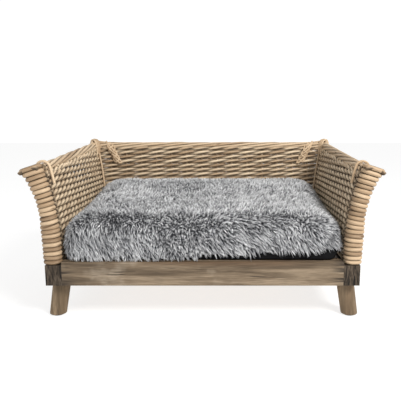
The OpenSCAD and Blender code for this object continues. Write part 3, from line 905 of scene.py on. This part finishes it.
def buildKnot(side, name, replaced):
    paths = []
    diagonal = Vector((-side, -1, 0)).normalized()
    sideways = Vector((-diagonal.y, diagonal.x, 0))
    corner = Vector((side * cornerX, cornerY, backEndZ))
    # The binding's line over the border, as inwards and up, from its outer tip to its inner one
    profile = [(-0.012, -0.016), (-0.0155, 0.002), (-0.009, 0.0150), (0.001, 0.0182),
               (0.012, 0.0145), (0.0185, 0.002), (0.0200, -0.014), (0.0190, -0.036)]
    for k in range(binding["knotRods"]):
        points = []
        for i, (inwards, up) in enumerate(profile):
            t = i / (len(profile) - 1)
            spread = (k - 1) * mix(0.0058, 0.0044, t)
            shrink = 1 - 0.05 * abs(k - 1)
            place = corner + diagonal * inwards * shrink + sideways * spread
            points.append(place + Vector((0, 0, up * shrink)))
        paths.append((smoothPath(points, binding["knotRod"]), False))
    # Rods that run across the corner under the binding
    for k in range(binding["crossRods"]):
        lift = 0.011 - k * 0.006
        out = 0.008 + 0.0012 * k
        bend = [(-0.0015, -0.032, lift * 0.8), (out * 0.7, -0.010, lift),
                (out * 0.45, out * 0.45, lift + 0.001),
                (-0.010, out * 0.75, lift), (-0.032, -0.0005, lift * 0.8)]
        points = [corner + Vector((side * x, y, z)) for x, y, z in bend]
        paths.append((smoothPath(points, binding["crossRod"]), False))
    layRods(name, paths, replaced, {"Wobble": 0.0004, "Spread": 0.18, "Sides": 8, "Seed": 67 + side})


def buildRodFrom(name, points, thick, replaced, seed):
    layRods(name, [(smoothPath(points, thick, 40), False)], replaced,
            {"Wobble": 0.0005, "Sides": 10, "Seed": seed})


def buildCornerRod(side, name, replaced):
    points = []
    for i in range(7):
        z = mix(gallery["railTop"] + 0.0005, gallery["borderBackZ"] - 0.0235, i / 6)
        bow = flare(z, gallery["flareBack"])
        points.append((side * (gallery["wallX"] - 0.004 + bow), gallery["backFaceY"] - 0.004 + bow, z))
    buildRodFrom(name, points, binding["cornerRod"], replaced, 71 + side)


def buildEndRod(side, name, replaced):
    y = wallFrontY + 0.0043
    bend = 0.0153  # radius of the turn over the border
    points = []
    for degrees in (18, 45, 75, 105, 135, 165):
        a = math.radians(degrees)
        points.append((side * (armBorderX + bend * math.cos(a)), y, frontEndZ + bend * math.sin(a)))
    points += [(side * (armBorderX - 0.0189), y + 0.001, frontEndZ - 0.012),
               (side * (armBorderX - 0.0228), y + 0.002, frontEndZ - 0.034)]
    buildRodFrom(name, points, binding["endRod"], replaced, 79 + side)


plait = {"strands": 4, "strand": 0.0060, "turns": 1.1, "swing": 0.0105, "lift": 0.0024,
         "topZ": 0.376, "footZ": 0.316}


def buildPlait(side, name, replaced):
    paths = []
    for k in range(plait["strands"]):
        points = []
        for i in range(30):
            t = i / 29
            x = mix(cornerX - 0.046, cornerX - 0.076, t)
            z = mix(plait["topZ"], plait["footZ"], t)
            over = max(0, z - 0.357)  # how far the plait has bent back over the border
            tuck = 0.004 * min(max((z - 0.335) / 0.015, 0), 1)
            y = gallery["backFaceY"] + flare(z, gallery["flareBack"]) - 0.0042 - tuck
            y += 0.6 * over + 9.0 * over * over
            turn = t * twoPi * plait["turns"] + twoPi * k / plait["strands"]
            swing = plait["swing"] * math.sin(turn)
            depth = plait["lift"] * math.cos(2 * turn)
            place = (side * (x + swing), y - depth, z + 0.3 * swing)
            points.append((place, (1, 0, 0), (0, 0, 1), 0.0, plait["strand"]))
        paths.append((points, False))
    layRods(name, paths, replaced, {"Wobble": 0.0003, "Spread": 0.1, "Sides": 8, "Seed": 83 + side})


for side, word in ((-1, "left"), (1, "right")):
    buildKnot(side, word + "_corner_binding", [word + "_corner_knot"])
    buildCornerRod(side, word + "_corner_upright", [word + "_corner_rod"])
    buildEndRod(side, word + "_end_binding", [word + "_end_rod"])
    buildPlait(side, word + "_plait_strands", [word + "_plait"])
print("gallery built")


# Cushion: a stuffed pad blown up by cloth pressure, then covered

cushion = {
    "shrink": 0.010,  # how much smaller the shape starts than the finished cushion
    "frontHigh": 0.096,
    "cornerPower": 0.13,  # nearer 0 makes squarer corners
    "upperPower": 0.18,  # the same for the upper and the lower edge
    "lowerPower": 0.02,
    "crownPower": 0.62,
    "voxel": 0.0065,
    "pressure": 4.0,
    "frames": 20,
    "cap": 0.009,  # the most that a point may swell
    "pileRoom": 0.009,  # left for the fur above, beside and in front
    "sideRoom": 0.001,
    "frontRoom": 0.004,
    "railInside": -0.2225,
    "backLift": 0.010,
    "backSeam": 0.1845,  # heights of the fur's lower edge
    "frontSeam": 0.1455,
    "rightSeam": 0.165,
}


def signedPower(value, power):
    return math.copysign(abs(value) ** power, value)


def cushionHull():
    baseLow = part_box("under_fabric")[0]
    coverLow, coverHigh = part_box("fur_cover")
    inset = cushion["shrink"]
    halfX = (coverHigh.x - coverLow.x) / 2 - inset
    frontY, backY = coverLow.y + inset, coverHigh.y - inset * 0.7
    baseZ, frontZ, backZ = baseLow.z + 0.002, baseLow.z + cushion["frontHigh"] - inset, coverHigh.z - inset
    centreY, halfY = (frontY + backY) / 2, (backY - frontY) / 2
    rings, around = 12, 96
    spots, faces = [], []
    for i in range(1, rings):
        v = i / rings * math.pi - math.pi / 2
        wide = math.cos(v) ** cushion["upperPower" if v > 0 else "lowerPower"]
        rise = signedPower(math.sin(v), cushion["crownPower"])
        for j in range(around):
            a = twoPi * j / around
            x = halfX * signedPower(math.cos(a), cushion["cornerPower"]) * wide
            y = centreY + halfY * signedPower(math.sin(a), cushion["cornerPower"]) * wide
            top = mix(frontZ, backZ, (y - frontY) / (backY - frontY))
            spots.append((x, y, mix(baseZ, top, 0.5 + 0.5 * rise)))
    for i in range(rings - 2):
        for j in range(around):
            a, b = i * around + j, i * around + (j + 1) % around
            faces.append((a, b, b + around, a + around))
    lower, upper = list(range(around)), [(rings - 2) * around + j for j in range(around)]
    faces += [tuple(reversed(lower)), tuple(upper)]
    mesh = bpy.data.meshes.new("padHull")
    mesh.from_pydata(spots, [], faces)
    pad = bpy.data.objects.new("padHull", mesh)
    scene.collection.objects.link(pad)
    return pad


def stuffPad(pad):
    modifier = pad.modifiers.new("even", "REMESH")
    modifier.mode = "VOXEL"
    modifier.voxel_size = cushion["voxel"]
    applyModifiers(pad)
    before = readSpots(pad.data)
    cloth = pad.modifiers.new("stuffing", "CLOTH")
    cloth.settings.use_pressure = True
    cloth.settings.uniform_pressure_force = cushion["pressure"]
    cloth.settings.effector_weights.gravity = 0
    cloth.settings.quality = 5
    for number in range(1, cushion["frames"] + 1):
        scene.frame_set(number)
    applyModifiers(pad)
    scene.frame_set(1)
    after = readSpots(pad.data)
    # The underside is held down by the slats, so it swells least
    step = after - before
    lowest, highest = before[:, 2].min(), before[:, 2].max()
    step *= np.clip(0.1 + 1.2 * (before[:, 2] - lowest) / (highest - lowest), 0.1, 1.0)[:, None]
    far = np.linalg.norm(step, axis=1)
    step *= (np.minimum(far, cushion["cap"]) / np.maximum(far, 1e-9))[:, None]
    fitPad(pad, before + step)


def fitPad(pad, spots):
    # Brings the puffed shape back to the cushion's own length, width and height, less room for the pile
    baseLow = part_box("under_fabric")[0]
    coverLow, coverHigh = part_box("fur_cover")
    halfX = coverHigh.x - cushion["sideRoom"]
    low = np.array([-halfX, coverLow.y + cushion["frontRoom"], baseLow.z + 0.0015])
    high = np.array([halfX, coverHigh.y - cushion["sideRoom"], coverHigh.z - cushion["pileRoom"]])
    lowest, highest = spots.min(axis=0), spots.max(axis=0)
    fitted = low + (spots - lowest) / (highest - lowest) * (high - low)
    # The front edge sits square on the front rail
    over = np.clip((cushion["railInside"] - fitted[:, 1]) / 0.004, 0, 1)
    bottom = np.clip((low[2] + 0.030 - fitted[:, 2]) / 0.022, 0, 1)
    fitted[:, 2] = np.maximum(fitted[:, 2] - 0.018 * over * bottom, low[2])
    # The back of the pad is puffed up a little
    toBack = np.clip((fitted[:, 1] + 0.08) / 0.22, 0, 1)
    height = np.clip((fitted[:, 2] - low[2]) / (high[2] - low[2]), 0, 1)
    fitted[:, 2] += cushion["backLift"] * toBack * toBack * (3 - 2 * toBack) * height
    pad.data.vertices.foreach_set("co", fitted.astype(np.float32).ravel())
    pad.data.update()


def applyModifiers(thing):
    graph = bpy.context.evaluated_depsgraph_get()
    mesh = bpy.data.meshes.new_from_object(thing.evaluated_get(graph))
    thing.modifiers.clear()
    thing.data = mesh


def readSpots(mesh):
    spots = np.empty(len(mesh.vertices) * 3, np.float32)
    mesh.vertices.foreach_get("co", spots)
    return spots.reshape(-1, 3).astype(float)


def seamHeight(x, y):
    # The fur reaches lowest in front on the left, and the black side shows on the right and behind
    right = min(max((x + 0.02) / 0.30, 0), 1)
    front = mix(cushion["frontSeam"], cushion["rightSeam"], right)
    backward = min(max((y + 0.10) / 0.16, 0), 1)
    return mix(front, cushion["backSeam"], backward)


def cutPad(pad, name, keepUpper, outward, wall):
    # Copies the faces above or below the seam, or all of them, moves them outward and gives them a thickness
    mesh = pad.data
    spots = readSpots(mesh)
    normals = np.empty(len(mesh.vertices) * 3, np.float32)
    mesh.vertex_normals.foreach_get("vector", normals)
    spots = spots + normals.reshape(-1, 3) * outward
    faces = []
    for face in mesh.polygons:
        above = face.center.z > seamHeight(face.center.x, face.center.y)
        if keepUpper is None or above == keepUpper:
            faces.append((face.center.x, tuple(face.vertices)))
    faces = [corners for _, corners in sorted(faces)]
    used = sorted({v for face in faces for v in face})
    renumber = {v: i for i, v in enumerate(used)}
    cut = bpy.data.meshes.new(name)
    corners = [tuple(renumber[v] for v in face) for face in faces]
    cut.from_pydata([tuple(spots[v]) for v in used], [], corners)
    cut.polygons.foreach_set("use_smooth", [True] * len(cut.polygons))
    piece = bpy.data.objects.new(name, cut)
    scene.collection.objects.link(piece)
    if wall:
        modifier = piece.modifiers.new("cloth", "SOLIDIFY")
        modifier.thickness = wall
        modifier.offset = -1
        applyModifiers(piece)
    return piece


def buildCushion():
    pad = cushionHull()
    stuffPad(pad)
    filling = cutPad(pad, "filling_pad", None, -0.004, 0)
    base = cutPad(pad, "black_base_cloth", False, 0.0, 0.0012)
    cover = cutPad(pad, "fur_backing", True, 0.0006, 0.0015)
    for piece, finish, node, slot, fill in ((filling, "wadding", "cushion_filling", "wadding", 0.7),
                                            (base, "blackFabric", "under_fabric", "black_fabric", 0.6),
                                            (cover, "furSkin", "fur_cover", "fur", 0.6)):
        piece.data.materials.append(finishes[finish])
        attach(piece, "cushion")
        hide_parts(node)
    skin = cutPad(pad, "pileSkin", True, 0.0008, 0)
    bpy.data.objects.remove(pad)
    return skin


# Fur pile: spikes on the cover, drawn into small tufts and combed down and across

# Density and tufts are counts for each square metre; comb is how far a hair's tip is laid over
pile = {"density": 300000.0, "tufts": 70000.0, "length": 0.0085, "girth": 0.00085, "gather": 0.7,
        "comb": 0.0088, "downhill": (0.45, -0.50, -0.95), "hairFaces": 7, "pieces": 8, "seed": 5}


def makePileTree():
    tree = openTree("furPile", {
        "Density": ("Float", 1000.0), "Tufts": ("Float", 100.0), "Length": ("Float", 0.02),
        "Girth": ("Float", 0.001), "Gather": ("Float", 0.6), "Comb": ("Float", 0.01),
        "Seed": ("Int", 1), "Finish": ("Material", None)})
    given = tree.given
    tufts = tree.add("GeometryNodeDistributePointsOnFaces", None,
                     {"Mesh": given["Geometry"], "Density": given["Tufts"], "Seed": given["Seed"] + 1})
    roots = tree.add("GeometryNodeDistributePointsOnFaces", None,
                     {"Mesh": given["Geometry"], "Density": given["Density"], "Seed": given["Seed"]})
    normal, turn = tree.output(1), tree.output(2)
    place = tree.add("GeometryNodeInputPosition")
    near = tree.add("GeometryNodeSampleNearest", None, {"Geometry": tufts})
    tuftPlace = tree.add("GeometryNodeSampleIndex", {"data_type": "FLOAT_VECTOR"},
                         {"Geometry": tufts, "Value": tree.add("GeometryNodeInputPosition"), "Index": near})
    pull = (tuftPlace - place) * given["Gather"]
    # Hairs lie downhill, turned aside a little over wide areas, small areas and from tuft to tuft
    swirls = []
    for where, scale, detail in ((place, 5.0, 1.0), (place, 45.0, 1.0), (tuftPlace, 300.0, 0.0)):
        tree.noise(where, scale, detail, 0.5)
        swirls.append(tree.output(1) - (0.5, 0.5, 0.5))
    wander, ruffle, scatter = swirls
    downhill = tree.add("ShaderNodeCombineXYZ", None, pile["downhill"])
    heading = wander * 3.2 + ruffle * 2.2 + scatter * 2.8 + downhill
    lost = tree.add("ShaderNodeVectorMath", {"operation": "DOT_PRODUCT"}, [heading, normal], 1)
    flow = (heading - normal * lost) * given["Comb"]
    chanceTuft = tree.add("FunctionNodeRandomValue", None, {"ID": near, "Seed": given["Seed"] + 2}, 1)
    chanceHair = tree.add("FunctionNodeRandomValue", None, {"Seed": given["Seed"] + 3}, 1)
    patch = tree.noise(place, 30.0, 2.0, 0.6)
    tint = chanceTuft * 0.45 + chanceHair * 0.55 + (patch - 0.5) * 0.9
    roots = store(tree, roots, "clumpPull", pull, "POINT", "FLOAT_VECTOR")
    roots = store(tree, roots, "flow", flow, "POINT", "FLOAT_VECTOR")
    roots = store(tree, roots, "hairTint", tint)
    shape = {"Vertices": 3, "Side Segments": 2, "Radius Top": 0.0, "Radius Bottom": 1.0, "Depth": 1.0}
    cone = tree.add("GeometryNodeMeshCone", {"fill_type": "NGON"}, shape)
    height = tree.add("ShaderNodeSeparateXYZ", None, [tree.add("GeometryNodeInputPosition")], 2)
    cone = store(tree, cone, "lift", height)
    length = given["Length"] * (0.7 + chanceHair * 0.35 + chanceTuft * 0.25)
    scale = tree.add("ShaderNodeCombineXYZ", None, [given["Girth"], given["Girth"], length])
    hairs = tree.add("GeometryNodeInstanceOnPoints", None,
                     {"Points": roots, "Instance": cone, "Rotation": turn, "Scale": scale})
    solid = tree.add("GeometryNodeRealizeInstances", None, {"Geometry": hairs})
    lift = named(tree, "lift")
    curl = named(tree, "flow", "FLOAT_VECTOR") * (lift * (lift * 0.6 + 0.4))
    gather = named(tree, "clumpPull", "FLOAT_VECTOR") * lift
    bent = tree.add("GeometryNodeSetPosition", None, {"Geometry": solid, "Offset": curl + gather})
    smooth = tree.add("GeometryNodeSetShadeSmooth", None, {"Geometry": bent})
    return closeTree(tree, smooth)


def splitMesh(piece, count, shapeFaces):
    # Cuts a mesh of many equal shapes into pieces of neighbouring shapes, from left to right
    mesh = piece.data
    spots = readSpots(mesh)
    shapes = len(mesh.polygons) // shapeFaces
    corners = np.empty(len(mesh.loops), np.int32)
    mesh.loops.foreach_get("vertex_index", corners)
    starts = np.empty(len(mesh.polygons), np.int32)
    mesh.polygons.foreach_get("loop_start", starts)
    starts = np.append(starts, len(corners))
    layers = {}
    for label in ("hairTint", "lift"):
        layers[label] = np.empty(len(mesh.vertices), np.float32)
        mesh.attributes[label].data.foreach_get("value", layers[label])
    pieces = []
    for k in range(count):
        first, last = shapes * k // count * shapeFaces, shapes * (k + 1) // count * shapeFaces
        loops = corners[starts[first]:starts[last]]
        used, renumbered = np.unique(loops, return_inverse=True)
        edges = starts[first:last + 1] - starts[first]
        faces = [renumbered[edges[i]:edges[i + 1]].tolist() for i in range(last - first)]
        part = bpy.data.meshes.new(f"{piece.name}_{k + 1}")
        part.from_pydata(spots[used].tolist(), [], faces)
        part.polygons.foreach_set("use_smooth", [True] * len(part.polygons))
        for label, values in layers.items():
            part.attributes.new(label, "FLOAT", "POINT").data.foreach_set("value", values[used])
        part.materials.append(finishes["pile"])
        thing = bpy.data.objects.new(part.name, part)
        scene.collection.objects.link(thing)
        pieces.append(thing)
    bpy.data.objects.remove(piece)
    return pieces


def buildPile(skin):
    labels = ("Density", "Tufts", "Length", "Girth", "Gather", "Comb", "Seed")
    values = {label: pile[label.lower()] for label in labels}
    whole = bakeShape(skin, "fur_pile", makePileTree(), {**values, "Finish": finishes["pile"]})
    print("fur faces:", len(whole.data.polygons))
    for piece in splitMesh(whole, pile["pieces"], pile["hairFaces"]):
        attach(piece, "cushion")


buildPile(buildCushion())
print("cushion built")
